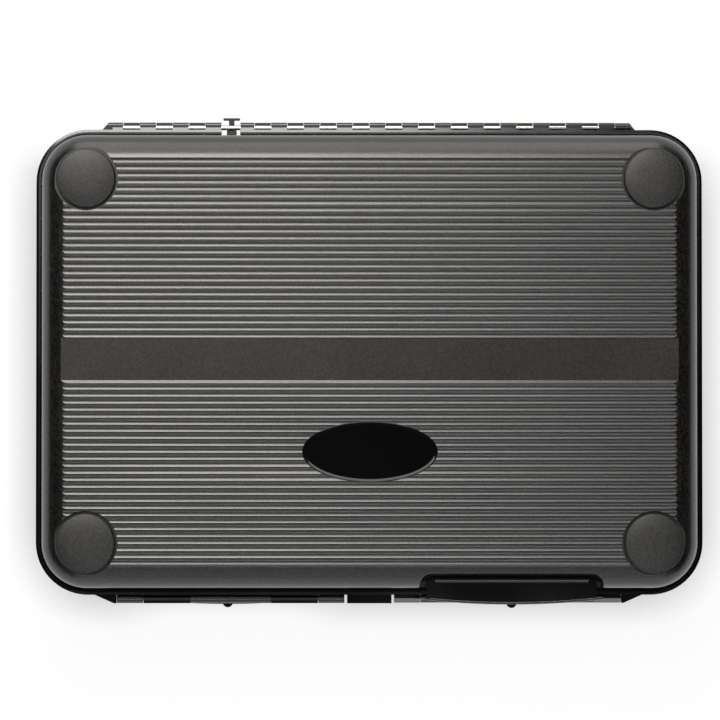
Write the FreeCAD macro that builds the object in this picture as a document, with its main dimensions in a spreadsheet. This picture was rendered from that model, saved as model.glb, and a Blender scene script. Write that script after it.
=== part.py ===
"""Large two-sided fly box: two ribbed half shells, an open-saddle hinge and two opposed latches.

Each half is modelled in its own frame, lying on its feet with the opening up: +X along the
hinge, +Y towards the hinge, -Y towards the latches, Z = 0 under the feet. The base keeps that
frame. The lid is the same half turned 180 degrees about the front-to-back line, so that each
half carries one latch and hooks the other one's. All sizes are in millimetres.
"""
import FreeCAD
import Part
import Sketcher
import math
import os

DRIVING = {
    # case outline, measured over the black rim
    "rim_length": 270.0,
    "rim_width": 188.5,
    "rim_corner_radius": 21.2,
    "half_height": 30.0,
    "parting_gap": 0.2,
    # rim moulding
    "rim_height": 7.5,
    "rim_thickness": 8.25,
    "lip_thickness": 1.7,
    "lip_slope_width": 1.0,
    "lip_slope_drop": 0.25,
    "lip_gap": 1.35,
    "channel_depth": 2.5,
    "seat_clearance": 0.1,
    "rib_width": 0.8,
    "side_rib_pitch": 14.45,
    "rear_rib_pitch": 22.4,
    "ribs_per_side": 11,
    # cover moulding
    "cover_wall": 2.2,
    "cover_floor": 3.0,
    "shoulder_radius": 11.3,
    "flutes_per_field": 26,
    "flute_pitch": 2.8,
    "flute_land": 0.35,
    "flute_depth": 0.25,
    "band_width": 18.1,
    "band_depth": 0.4,
    "band_slope": 1.2,
    # feet
    "foot_proud": 1.5,
    "foot_pocket_depth": 1.5,
    "foot_diameter": 23.9,
    "foot_ring_gap": 1.0,
    "foot_edge_radius": 0.8,
    "foot_inset": 18.15,
    # badge plate
    "badge_length": 54.1,
    "badge_width": 24.3,
    "badge_offset": 36.5,
    "badge_recess": 0.6,
    "badge_proud": 0.4,
    "badge_edge_radius": 0.25,
    # hinge
    "knuckles_per_half": 16,
    "knuckle_pitch": 6.675,
    "knuckle_gap": 0.16,
    "hinge_offset": 1.35,
    "hinge_barrel_radius": 2.1,
    "knuckle_edge_radius": 1.1,
    "saddle_ramp": 0.34,
    "hinge_end_taper": 2.2,
    "hinge_end_flat": 2.3,
    "pin_diameter": 2.0,
    "pin_clearance": 0.05,
    "pin_end_gap": 1.0,
    "swing_clearance": 0.3,
    # lanyard lug
    "lug_offset": 56.05,
    "lug_slot_width": 7.65,
    "lug_slot_shift": 0.225,
    "lug_slot_depth": 3.25,
    "lug_root_depth": 2.1,
    "lug_side_gap": 0.45,
    "lug_block_width": 4.0,
    "lug_block_depth": 2.5,
    "lug_block_height": 6.0,
    "lug_stem_width": 2.2,
    "lug_head_depth": 1.0,
    "lug_reach": 4.0,
    "lug_thickness": 1.9,
    "lug_swing": 1.1,
    # latches
    "latch_center": 56.2,
    "latch_length": 92.2,
    "latch_end_barrel": 10.6,
    "latch_mid_barrel": 32.6,
    "latch_gap": 0.14,
    "latch_block_gap": 1.1,
    "latch_end_gap": 0.18,
    "latch_block_taper": 9.0,
    "latch_offset": 1.55,
    "latch_drop": 2.7,
    "latch_barrel_radius": 2.0,
    "lever_clearance": 0.45,
    "lever_bar_height": 1.9,
    "lever_depth": 1.2,
    "lever_bow": 2.3,
    "finger_center": 57.5,
    "finger_length": 71.2,
    "finger_flare": 3.3,
    "finger_edge_radius": 1.0,
    "thumb_nub_width": 4.0,
    "thumb_nub_proud": 1.4,
    "hook_length": 69.0,
    "hook_reach": 6.9,
    "hook_thickness": 2.0,
    "hook_clearance": 0.3,
    "hook_corner_radius": 3.5,
    "hook_crown_width": 1.9,
    "hook_crown_height": 0.3,
    "tooth_inset": 3.25,
    "tooth_width": 1.0,
    "tooth_depth": 0.8,
    # finger notch in the cover, over the other half's hook
    "notch_center": 56.9,
    "notch_length": 73.8,
    "notch_depth": 6.2,
    "notch_corner_radius": 5.0,
    "notch_edge_radius": 0.4,
    "notch_wall": 2.2,
    "notch_sink": 1.5,
    # gasket between the rims
    "gasket_diameter": 2.4,
    "gasket_inset": 5.4,
    "groove_width": 3.0,
    "groove_depth": 1.5,
    # insert panel and foam rows
    "insert_thickness": 1.6,
    "insert_margin": 0.8,
    "insert_corner_radius": 9.0,
    "foam_rows": 9,
    "foam_pitch": 17.5,
    "foam_width": 11.0,
    "foam_height": 12.0,
    "foam_crown": 1.5,
    "foam_seat": 0.6,
    "foam_fit": 0.2,
    "foam_end_margin": 5.0,
    # overlap of joined features and overrun of open cuts
    "overrun": 1.0,
}

DERIVED = {
    "rim_x": "dims.rim_length / 2",
    "rim_y": "dims.rim_width / 2",
    "rim_top": "dims.half_height - dims.parting_gap / 2",
    "rim_bottom": "dims.half_height - dims.rim_height",
    "lip_step": "dims.lip_thickness + dims.lip_gap",
    "wall_step": "dims.lip_thickness + dims.lip_gap + dims.cover_wall",
    "cover_x": "dims.rim_length / 2 - dims.lip_thickness - dims.lip_gap",
    "cover_y": "dims.rim_width / 2 - dims.lip_thickness - dims.lip_gap",
    "skirt_top": "rim_bottom + dims.channel_depth - dims.seat_clearance",
    "floor_z": "dims.foot_proud + dims.cover_floor",
    "cavity_fillet": "dims.shoulder_radius - dims.cover_wall - 3 * dims.seat_clearance",
    "flute_width": "dims.flute_pitch - dims.flute_land",
    "flute_radius": "flute_width ^ 2 / (8 * dims.flute_depth) + dims.flute_depth / 2",
    "flute_near": "dims.band_width / 2 + dims.flute_pitch / 2",
    "flute_far": "flute_near + (dims.flutes_per_field - 1) * dims.flute_pitch",
    "foot_x": "cover_x - dims.foot_inset",
    "foot_y": "cover_y - dims.foot_inset",
    "pin_radius": "dims.pin_diameter / 2",
    "bore_radius": "dims.pin_diameter / 2 + dims.pin_clearance",
    "hinge_y": "rim_y + dims.hinge_offset",
    "hinge_front_y": "hinge_y + dims.hinge_barrel_radius",
    "hinge_half": "dims.knuckles_per_half * dims.knuckle_pitch",
    "hinge_foot": "dims.half_height - dims.hinge_barrel_radius",
    "knuckle_flat": "dims.hinge_barrel_radius - dims.knuckle_edge_radius",
    "hinge_sweep": "sqrt(2) * knuckle_flat + dims.knuckle_edge_radius",
    "knuckle_width": "dims.knuckle_pitch - dims.knuckle_gap",
    "knuckle_first": "1.5 * dims.knuckle_pitch - hinge_half - knuckle_width / 2",
    "knuckle_last": "hinge_half - dims.knuckle_pitch / 2 - knuckle_width / 2",
    "hinge_end": "hinge_half - dims.knuckle_gap / 2",
    "lug_x": "-1 * dims.lug_offset",
    "lug_slot_x": "lug_x - dims.lug_slot_shift",
    "lug_wall_y": "rim_y - dims.lug_slot_depth",
    "lug_root_y": "rim_y - dims.lug_root_depth",
    "lug_tip_y": "hinge_y + dims.lug_reach",
    "lug_floor": "rim_top - dims.lug_thickness",
    "latch_y": "rim_y + dims.latch_offset",
    "latch_z": "dims.half_height - dims.latch_drop",
    "latch_front_y": "latch_y + dims.latch_barrel_radius",
    "latch_inner": "dims.latch_center - dims.latch_length / 2",
    "latch_outer": "dims.latch_center + dims.latch_length / 2",
    "latch_knuckle": "(dims.latch_length - 2 * dims.latch_end_barrel - dims.latch_mid_barrel) / 2",
    "latch_swing_top": "latch_z + dims.latch_barrel_radius + dims.swing_clearance",
    "lever_y": "rim_y + dims.lever_clearance",
    "lever_front_y": "lever_y + dims.lever_depth",
    "lever_inset": "dims.latch_offset - dims.lever_clearance",
    "lever_root_z": "latch_z + sqrt(dims.latch_barrel_radius ^ 2 - lever_inset ^ 2)",
    "lever_bar_top": "latch_swing_top + dims.lever_bar_height",
    "hook_bottom": "dims.half_height + dims.rim_height + dims.hook_clearance",
    "hook_top": "hook_bottom + dims.hook_thickness",
    "hook_tip_y": "rim_y - dims.hook_reach",
    "tooth_y": "rim_y - dims.tooth_inset",
    "crown_radius": "dims.hook_crown_width ^ 2 / (8 * dims.hook_crown_height) + dims.hook_crown_height / 2",
    "finger_half": "dims.finger_length / 2",
    "finger_flare_half": "dims.finger_length / 2 + dims.finger_flare",
    "bow_radius": "finger_flare_half ^ 2 / (2 * dims.lever_bow) + dims.lever_bow / 2",
    "nub_radius": "dims.thumb_nub_width ^ 2 / (8 * dims.thumb_nub_proud) + dims.thumb_nub_proud / 2",
    "notch_y": "cover_y - dims.notch_depth",
    "notch_floor": "rim_bottom + dims.notch_sink",
    "notch_near": "dims.notch_center - dims.notch_length / 2",
    "notch_far": "dims.notch_center + dims.notch_length / 2",
    "notch_outer_radius": "dims.notch_corner_radius + dims.notch_wall",
    "insert_x": "cover_x - dims.cover_wall - cavity_fillet - dims.insert_margin",
    "insert_y": "cover_y - dims.cover_wall - cavity_fillet - dims.insert_margin",
    "insert_top": "floor_z + dims.insert_thickness",
    "foam_bottom": "insert_top - dims.foam_seat",
    "foam_side_top": "foam_bottom + dims.foam_height - dims.foam_crown",
    "foam_crown_radius": "dims.foam_width ^ 2 / (8 * dims.foam_crown) + dims.foam_crown / 2",
    "foam_half": "insert_x - dims.foam_end_margin",
    "foam_first": "-(dims.foam_rows - 1) * dims.foam_pitch / 2",
}

doc = FreeCAD.newDocument("fly_box")
dims = doc.addObject("Spreadsheet::Sheet", "dims")
fits = doc.addObject("Spreadsheet::Sheet", "fits")
for row, (alias, number) in enumerate(DRIVING.items(), start=1):
    dims.set(f"A{row}", alias)
    dims.set(f"B{row}", str(number))
    dims.setAlias(f"B{row}", alias)
for row, (alias, formula) in enumerate(DERIVED.items(), start=1):
    fits.set(f"A{row}", alias)
    fits.setAlias(f"B{row}", alias)
    fits.set(f"B{row}", "=" + formula)
doc.recompute()


def bound(text):
    """Formula text whose bare words are cells: driving cells first, then derived ones."""
    words = text.replace("(", " ( ").replace(")", " ) ").split()
    sheets = {**dict.fromkeys(DERIVED, "fits."), **dict.fromkeys(DRIVING, "dims.")}
    return " ".join(sheets.get(word, "") + word for word in words)


def size(text):
    """Present value of a formula of cells, in millimetres."""
    return float(fits.evalExpression(bound(text)))


def new_body(name, on_lid=False):
    """Empty body in the half's frame, turned over onto the lid where asked."""
    body = doc.addObject("PartDesign::Body", name)
    body.Label = name
    if on_lid:
        body.Placement = FreeCAD.Placement(FreeCAD.Vector(), FreeCAD.Rotation(FreeCAD.Vector(0, 1, 0), 180))
        body.setExpression("Placement.Base.z", "2 * dims.half_height")
    return body


def new_sketch(body, name, plane, offset):
    """Sketch on one of the body's own origin planes, moved along the plane's normal."""
    sketch = body.newObject("Sketcher::SketchObject", f"{body.Name}_{name}")
    support = next(item for item in body.Origin.OriginFeatures if item.Role == plane)
    sketch.AttachmentSupport = [(support, "")]
    sketch.MapMode = "FlatFace"
    sketch.setExpression("AttachmentOffset.Base.z", bound(offset))
    return sketch


def pin_point(sketch, edge, end, x_text, y_text):
    """Hold one end of a sketch edge at a place given by two formulas."""
    for kind, text in (("DistanceX", x_text), ("DistanceY", y_text)):
        index = sketch.addConstraint(Sketcher.Constraint(kind, -1, 1, edge, end, size(text)))
        sketch.setExpression(f"Constraints[{index}]", bound(text))


def arc_between(start, end, radius):
    """Minor arc from start to end, its centre to the left of the way where the radius is positive."""
    chord = end - start
    reach = math.sqrt(max(radius ** 2 - (chord.Length / 2) ** 2, 0.0))
    left = FreeCAD.Vector(-chord.y, chord.x, 0).normalize()
    center = (start + end) / 2 + left * math.copysign(reach, radius)
    first, last = (start, end) if radius > 0 else (end, start)
    circle = Part.Circle(center, FreeCAD.Vector(0, 0, 1), abs(radius))
    angles = [math.atan2(point.y - center.y, point.x - center.x) for point in (first, last)]
    return Part.ArcOfCircle(circle, angles[0], angles[1])


def outline(sketch, corners):
    """Closed outline, counter-clockwise. A corner is (x, y) or (x, y, radius of the arc that leaves it)."""
    points = [FreeCAD.Vector(size(corner[0]), size(corner[1]), 0) for corner in corners]
    ends = []
    for index, corner in enumerate(corners):
        start, end = points[index], points[(index + 1) % len(points)]
        if len(corner) == 2:
            edge = sketch.addGeometry(Part.LineSegment(start, end))
            ends.append((edge, 1, 2))
            continue
        radius = size(corner[2])
        edge = sketch.addGeometry(arc_between(start, end, radius))
        ends.append((edge, 1, 2) if radius > 0 else (edge, 2, 1))
        limit = sketch.addConstraint(Sketcher.Constraint("Radius", edge, abs(radius)))
        sketch.setExpression(f"Constraints[{limit}]", f"abs({bound(corner[2])})")
    for index, corner in enumerate(corners):
        edge, start_end, far_end = ends[index]
        following, following_start, _ = ends[(index + 1) % len(ends)]
        sketch.addConstraint(Sketcher.Constraint("Coincident", edge, far_end, following, following_start))
        pin_point(sketch, edge, start_end, corner[0], corner[1])


def rectangle(sketch, left, bottom, right, top):
    """Plain rectangle between two corners."""
    outline(sketch, [(left, bottom), (right, bottom), (right, top), (left, top)])


def rounded(sketch, half_x, half_y, radius):
    """Rectangle about the origin with four round corners."""
    x, y, r = f"({half_x})", f"({half_y})", f"({radius})"
    outline(sketch, [
        (f"{r} - {x}", f"-1 * {y}"), (f"{x} - {r}", f"-1 * {y}", radius),
        (x, f"{r} - {y}"), (x, f"{y} - {r}", radius),
        (f"{x} - {r}", y), (f"{r} - {x}", y, radius),
        (f"-1 * {x}", f"{y} - {r}"), (f"-1 * {x}", f"{r} - {y}", radius),
    ])


def rounded_from_rim(sketch, inset):
    """Outline that follows the rim's outer edge at a steady distance inside it."""
    rounded(sketch, f"rim_x - ({inset})", f"rim_y - ({inset})", f"rim_corner_radius - ({inset})")


def circle(sketch, x, y, radius):
    """Circle with its centre and radius held by formulas."""
    middle = FreeCAD.Vector(size(x), size(y), 0)
    edge = sketch.addGeometry(Part.Circle(middle, FreeCAD.Vector(0, 0, 1), size(radius)))
    limit = sketch.addConstraint(Sketcher.Constraint("Radius", edge, size(radius)))
    sketch.setExpression(f"Constraints[{limit}]", bound(radius))
    pin_point(sketch, edge, 3, x, y)


def extrude(body, kind, name, sketch, length, reverse=False):
    """Pad or Pocket of a sketch by a length formula. A Pad follows the normal, a Pocket goes against it."""
    feature = body.newObject(f"PartDesign::{kind}", f"{body.Name}_{name}")
    feature.Profile = sketch
    feature.Reversed = reverse
    feature.setExpression("Length", bound(length))
    return feature


def pattern(body, name, feature, axis, count, spacing):
    """Row of copies of a feature along one of the body's own axes."""
    row_feature = body.newObject("PartDesign::LinearPattern", f"{body.Name}_{name}")
    row_feature.Originals = [feature]
    direction = next(item for item in body.Origin.OriginFeatures if item.Role == axis)
    row_feature.Direction = (direction, [""])
    row_feature.Mode = "Spacing"
    row_feature.setExpression("Offset", bound(spacing))
    row_feature.setExpression("Occurrences", bound(count))
    body.Tip = row_feature
    return row_feature


def round_edges(body, name, radius, wanted):
    """Fillet on the edges of the body's last feature that the test picks out."""
    doc.recompute()
    base = body.Tip
    edges = [f"Edge{number}" for number, edge in enumerate(base.Shape.Edges, start=1) if wanted(edge)]
    if not edges:
        raise ValueError(f"{body.Name}_{name}: no edge to round")
    fillet = body.newObject("PartDesign::Fillet", f"{body.Name}_{name}")
    fillet.Base = (base, edges)
    fillet.setExpression("Radius", bound(radius))
    return fillet


def slope_edges(body, name, drop, width, wanted):
    """Long flat slope on the edges of the body's last feature that the test picks out."""
    doc.recompute()
    base = body.Tip
    edges = [f"Edge{number}" for number, edge in enumerate(base.Shape.Edges, start=1) if wanted(edge)]
    slope = body.newObject("PartDesign::Chamfer", f"{body.Name}_{name}")
    slope.Base = (base, edges)
    slope.ChamferType = "Two distances"
    slope.setExpression("Size", bound(drop))
    slope.setExpression("Size2", bound(width))
    return slope


def level(edge, height):
    """True where the whole edge lies at one height."""
    box = edge.BoundBox
    return abs(box.ZMin - height) < 1e-4 and abs(box.ZMax - height) < 1e-4


def build_cover(half, on_lid):
    """Charcoal cover: a shell with round shoulders, two fluted fields, a band, foot pockets and the notch."""
    body = new_body(f"{half}_cover", on_lid)
    plan = new_sketch(body, "plan", "XY_Plane", "foot_proud")
    rounded_from_rim(plan, "lip_step")
    extrude(body, "Pad", "block", plan, "skirt_top - foot_proud")
    hollow = new_sketch(body, "hollow", "XY_Plane", "skirt_top")
    rounded_from_rim(hollow, "wall_step")
    extrude(body, "Pocket", "cavity", hollow, "skirt_top - floor_z")
    round_edges(body, "cavity_corner", "cavity_fillet", lambda edge: level(edge, size("floor_z")))
    # the notch has a wall of its own, so that it never opens into the cavity
    backing = new_sketch(body, "backing", "XY_Plane", "floor_z - cover_floor / 2")
    notch_outline(backing, "notch_wall", "cover_wall / 2 - cover_y", "notch_outer_radius")
    extrude(body, "Pad", "notch_backing", backing, "rim_bottom - floor_z + cover_floor / 2")
    round_edges(body, "shoulder", "shoulder_radius", lambda edge: level(edge, size("foot_proud")))
    opening = new_sketch(body, "opening", "XY_Plane", "notch_floor")
    notch_outline(opening, "0", "-1 * cover_y - overrun", "notch_corner_radius")
    extrude(body, "Pocket", "notch", opening, "notch_floor - foot_proud + overrun")
    round_edges(body, "notch_edge", "notch_edge_radius", on_notch_edge)
    cut_feet(body)
    cut_band(body)
    if on_lid:
        seat = new_sketch(body, "badge_seat", "XY_Plane", "foot_proud + badge_recess")
        ellipse(seat, "badge_length / 2 + seat_clearance", "badge_width / 2 + seat_clearance")
        extrude(body, "Pocket", "badge_recess", seat, "badge_recess + overrun")
    cut_flutes(body)
    return body


def notch_outline(sketch, wall, front, radius):
    """Outline of the finger notch, or of the wall round it, open to the front."""
    far, near = f"-1 * notch_far - {wall}", f"{wall} - notch_near"
    back = f"{wall} - notch_y"
    outline(sketch, [
        (far, front), (near, front),
        (near, f"{back} - {radius}", radius), (f"{near} - {radius}", back),
        (f"{far} + {radius}", back, radius), (far, f"{back} - {radius}"),
    ])


def on_notch_edge(edge):
    """True where the edge runs round the mouth of the notch, on the shoulder."""
    box, slack = edge.BoundBox, 1e-4
    across = box.XMin > size("-1 * notch_far") - slack and box.XMax < size("-1 * notch_near") + slack
    along = box.YMax < size("-1 * notch_y") + slack
    return across and along and box.ZMax < size("foot_proud + shoulder_radius") + slack


def cut_feet(body):
    """Four round pockets for the feet, which run out through the shoulder at the corners."""
    seats = new_sketch(body, "foot_seats", "XY_Plane", "foot_proud + foot_pocket_depth")
    for x in ("foot_x", "-1 * foot_x"):
        for y in ("foot_y", "-1 * foot_y"):
            circle(seats, x, y, "foot_diameter / 2 + foot_ring_gap")
    extrude(body, "Pocket", "foot_pockets", seats, "foot_pocket_depth + overrun")


def cut_band(body):
    """Plain sunk band across the middle, sloped on its front side, which runs out into the shoulders."""
    section = new_sketch(body, "band_section", "YZ_Plane", "-1 * cover_x - overrun")
    edge, floor = "band_width / 2", "foot_proud + band_depth"
    outline(section, [
        (f"-1 * {edge}", "foot_proud - overrun"), (edge, "foot_proud - overrun"),
        (edge, floor), (f"band_slope - {edge}", floor), (f"-1 * {edge}", "foot_proud"),
    ])
    extrude(body, "Pocket", "band", section, "2 * cover_x + 2 * overrun", reverse=True)


def cut_flutes(body):
    """Two fields of shallow hollow flutes along X, with points where they run out into the shoulders."""
    section = new_sketch(body, "flute_section", "YZ_Plane", "-1 * cover_x - overrun")
    for middle in ("flute_near", "-1 * flute_far"):
        left, right = f"{middle} - flute_width / 2", f"{middle} + flute_width / 2"
        outline(section, [
            (left, "foot_proud - overrun"), (right, "foot_proud - overrun"),
            (right, "foot_proud", "flute_radius"), (left, "foot_proud"),
        ])
    flutes = extrude(body, "Pocket", "flutes", section, "2 * cover_x + 2 * overrun", reverse=True)
    pattern(body, "flute_fields", flutes, "Y_Axis", "flutes_per_field", "flute_pitch")


def ellipse(sketch, half_x, half_y):
    """Oval of the badge, with its long axis along X and both axes held by formulas."""
    middle = FreeCAD.Vector(0, size("-1 * badge_offset"), 0)
    long_end = middle + FreeCAD.Vector(size(half_x), 0, 0)
    short_end = middle + FreeCAD.Vector(0, size(half_y), 0)
    oval = sketch.addGeometry(Part.Ellipse(long_end, short_end, middle))
    sketch.exposeInternalGeometry(oval)
    pin_point(sketch, oval, 3, "0 * badge_offset", "-1 * badge_offset")
    long_axis, short_axis = oval + 1, oval + 2
    sketch.addConstraint(Sketcher.Constraint("Horizontal", long_axis))
    for axis, half_size in ((long_axis, half_x), (short_axis, half_y)):
        limit = sketch.addConstraint(Sketcher.Constraint("Distance", axis, 2 * size(half_size)))
        sketch.setExpression(f"Constraints[{limit}]", f"2 * ( {bound(half_size)} )")


def build_rim(half, on_lid):
    """Black rim: a channel for the cover's skirt, a gasket groove, hinge saddles and latch knuckles."""
    body = new_body(f"{half}_rim", on_lid)
    ring = new_sketch(body, "ring", "XY_Plane", "rim_bottom")
    rounded_from_rim(ring, "0")
    rounded_from_rim(ring, "rim_thickness")
    extrude(body, "Pad", "frame", ring, "rim_top - rim_bottom")
    slope_edges(body, "lip_slope", "lip_slope_drop", "lip_slope_width", on_rim_foot)
    channel = new_sketch(body, "channel", "XY_Plane", "rim_bottom")
    rounded_from_rim(channel, "lip_thickness")
    rounded_from_rim(channel, "wall_step + seat_clearance")
    extrude(body, "Pocket", "skirt_channel", channel, "channel_depth", reverse=True)
    groove = new_sketch(body, "groove", "XY_Plane", "rim_top")
    rounded_from_rim(groove, "gasket_inset - groove_width / 2")
    rounded_from_rim(groove, "gasket_inset + groove_width / 2")
    extrude(body, "Pocket", "gasket_groove", groove, "groove_depth - parting_gap / 2")
    add_ribs(body)
    add_hinge(body)
    add_latch_seat(body)
    cut_lug_slot(body, "-1 * lug_slot_x" if on_lid else "lug_slot_x")
    return body


def on_rim_foot(edge):
    """True where the edge belongs to the outer outline of the rim's foot."""
    far_x, far_y = size("rim_x"), size("rim_y")
    outer = [abs(abs(end.X) - far_x) < 1e-4 or abs(abs(end.Y) - far_y) < 1e-4 for end in edge.Vertexes]
    return level(edge, size("rim_bottom")) and all(outer)


def add_ribs(body):
    """Small ribs that bridge the gap between lip and cover, in a row along each side and the rear."""
    side = new_sketch(body, "side_rib", "XY_Plane", "rim_bottom + seat_clearance")
    low = "-1 * (ribs_per_side - 1) * side_rib_pitch / 2 - rib_width / 2"
    inner, outer = "cover_x + seat_clearance", "rim_x - lip_thickness / 2"
    rectangle(side, inner, low, outer, f"{low} + rib_width")
    rectangle(side, f"-1 * ({outer})", low, f"-1 * ({inner})", f"{low} + rib_width")
    side_ribs = extrude(body, "Pad", "side_rib_pair", side, "channel_depth")
    pattern(body, "side_ribs", side_ribs, "Y_Axis", "ribs_per_side", "side_rib_pitch")
    rear = new_sketch(body, "rear_rib", "XY_Plane", "rim_bottom + seat_clearance")
    left = "-1 * (ribs_per_side - 1) * rear_rib_pitch / 2 - rib_width / 2"
    rectangle(rear, left, "cover_y + seat_clearance", f"{left} + rib_width", "rim_y - lip_thickness / 2")
    rear_rib = extrude(body, "Pad", "rear_rib_one", rear, "channel_depth")
    pattern(body, "rear_ribs", rear_rib, "X_Axis", "ribs_per_side", "rear_rib_pitch")


def saddle_outline(sketch, with_bore):
    """Section of a hinge saddle: a block with a round edge below the pin, on a ramp from the rim's face."""
    root, axis, front, edge = "rim_y - lip_thickness / 2", "hinge_y", "hinge_front_y", "knuckle_edge_radius"
    corners = [
        (root, "hinge_foot - saddle_ramp"), ("rim_y", "hinge_foot - saddle_ramp"), (axis, "hinge_foot"),
        (f"{axis} + knuckle_flat", "hinge_foot", edge), (front, f"hinge_foot + {edge}"), (front, "half_height"),
    ]
    if with_bore:
        corners += [
            (f"{axis} + bore_radius", "half_height", "-1 * bore_radius"),
            (axis, "half_height - bore_radius", "-1 * bore_radius"),
            (f"{axis} - bore_radius", "half_height"),
        ]
    outline(sketch, corners + [(root, "half_height")])


def add_hinge(body):
    """Row of open saddles, with a closed barrel and a slanted end at one end of the row."""
    tip = "hinge_end + hinge_end_taper + overrun"
    relief = new_sketch(body, "hinge_relief", "YZ_Plane", f"-1 * ({tip})")
    circle(relief, "hinge_y", "half_height", "hinge_sweep + swing_clearance")
    extrude(body, "Pocket", "hinge_clearance", relief, f"2 * ({tip})", reverse=True)
    section = new_sketch(body, "saddle", "YZ_Plane", "knuckle_first")
    saddle_outline(section, with_bore=True)
    saddle = extrude(body, "Pad", "hinge_saddle", section, "knuckle_width")
    pattern(body, "hinge_saddles", saddle, "X_Axis", "knuckles_per_half", "2 * knuckle_pitch")
    closed = new_sketch(body, "barrel", "YZ_Plane", "knuckle_last")
    circle(closed, "hinge_y", "half_height", "hinge_barrel_radius")
    circle(closed, "hinge_y", "half_height", "bore_radius")
    extrude(body, "Pad", "end_barrel", closed, "knuckle_width")
    end = new_sketch(body, "end_section", "YZ_Plane", "hinge_end")
    saddle_outline(end, with_bore=False)
    extrude(body, "Pad", "hinge_end_block", end, "hinge_end_taper")
    slant = new_sketch(body, "end_slant", "XY_Plane", "half_height + hinge_barrel_radius + overrun")
    start, front = "hinge_end - hinge_end_taper / 3", "hinge_front_y"
    outline(slant, [
        (start, front), ("hinge_end + hinge_end_taper", "rim_y"),
        (tip, "rim_y"), (tip, f"{front} + overrun"), (start, f"{front} + overrun"),
    ])
    extrude(body, "Pocket", "hinge_end_slant", slant, "2 * hinge_barrel_radius + 2 * overrun")
    step = new_sketch(body, "end_step", "XY_Plane", "hinge_foot")
    rectangle(step, "hinge_end - hinge_end_flat", "rim_y", tip, "hinge_y")
    extrude(body, "Pocket", "hinge_end_step", step, "saddle_ramp + overrun")


def add_latch_seat(body):
    """Latch knuckles open towards the feet, the block between the two latches and the slanted end block."""
    relief = new_sketch(body, "latch_relief", "YZ_Plane", "latch_inner - latch_gap")
    circle(relief, "-1 * latch_y", "latch_z", "latch_barrel_radius + swing_clearance")
    extrude(body, "Pocket", "latch_clearance", relief, "latch_length + 2 * latch_gap", reverse=True)
    section = new_sketch(body, "latch_knuckle", "YZ_Plane", "latch_inner + latch_end_barrel + latch_gap")
    axis, barrel, root = "-1 * latch_y", "latch_barrel_radius", "lip_thickness / 2 - rim_y"
    outline(section, [
        (f"{axis} - {barrel}", "latch_z"), (f"{axis} - bore_radius", "latch_z", "-1 * bore_radius"),
        (axis, "latch_z + bore_radius", "-1 * bore_radius"), (f"{axis} + bore_radius", "latch_z"),
        (root, "latch_z"), (root, f"latch_z + {barrel}"), (axis, f"latch_z + {barrel}", barrel),
    ])
    knuckle = extrude(body, "Pad", "latch_saddle", section, "latch_knuckle - 2 * latch_gap")
    pattern(body, "latch_saddles", knuckle, "X_Axis", "2", "latch_knuckle + latch_mid_barrel")
    blocks = new_sketch(body, "latch_blocks", "XY_Plane", "latch_z - latch_barrel_radius")
    middle, front = "latch_inner - latch_block_gap", "-1 * latch_front_y"
    rectangle(blocks, f"-1 * ({middle})", front, middle, root)
    start = "latch_outer + latch_end_gap"
    outline(blocks, [
        (start, front), (f"{start} + overrun", front),
        (f"{start} + latch_block_taper", "-1 * rim_y"), (f"{start} + latch_block_taper", root), (start, root),
    ])
    extrude(body, "Pad", "latch_end_blocks", blocks, "rim_top - latch_z + latch_barrel_radius")


def cut_lug_slot(body, middle):
    """Slot in the hinge row for the lanyard lug. The lid's slot lets the lug pass when the case lies open."""
    outer = "hinge_front_y + overrun"
    left, right = f"{middle} - lug_slot_width / 2", f"{middle} + lug_slot_width / 2"
    root = new_sketch(body, "lug_root", "XY_Plane", "half_height + overrun")
    rectangle(root, left, "lug_root_y", right, outer)
    extrude(body, "Pocket", "lug_root_slot", root, "rim_height + 2 * overrun")
    shelf = new_sketch(body, "lug_shelf", "XY_Plane", "half_height + overrun")
    rectangle(shelf, left, "lug_wall_y", right, outer)
    extrude(body, "Pocket", "lug_shelf_slot", shelf, "half_height + overrun - lug_floor + lug_swing")


def build_lug():
    """T-shaped lanyard lug: a block in the rim's slot, a bridge under the hinge pin and a cross head."""
    body = new_body("lanyard_lug")
    plan = new_sketch(body, "plan", "XY_Plane", "lug_floor")
    block, stem = "lug_block_width / 2", "lug_stem_width / 2"
    head = "lug_slot_width / 2 - lug_side_gap"
    front, neck = "lug_wall_y + seat_clearance", "lug_tip_y - lug_head_depth"
    root = "lug_root_y + lug_block_depth"
    right_side = [(block, front), (block, root), (stem, root), (stem, neck), (head, neck)]
    right_side.append((head, "lug_tip_y"))
    corners = [(f"lug_x + {across}", along) for across, along in right_side]
    corners += [(f"lug_x - ({across})", along) for across, along in reversed(right_side)]
    outline(plan, corners)
    extrude(body, "Pad", "tee", plan, "lug_thickness")
    base = new_sketch(body, "block_plan", "XY_Plane", "rim_top - lug_block_height")
    rectangle(base, f"lug_x - {block}", "lug_root_y + seat_clearance", f"lug_x + {block}", root)
    extrude(body, "Pad", "block", base, "lug_block_height")
    keel = new_sketch(body, "keel_plan", "XY_Plane", "hinge_foot - overrun / 2")
    rectangle(keel, f"lug_x - {stem}", "lug_root_y + overrun", f"lug_x + {stem}", "hinge_front_y")
    extrude(body, "Pad", "keel", keel, "lug_floor - hinge_foot + overrun")
    slot = new_sketch(body, "pin_slot", "YZ_Plane", "lug_x - lug_slot_width")
    side = "bore_radius + pin_clearance"
    rectangle(slot, f"hinge_y - ({side})", f"half_height - ({side})", f"hinge_y + {side}", "half_height")
    extrude(body, "Pocket", "pin_clearance_slot", slot, "2 * lug_slot_width", reverse=True)
    return body


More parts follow.
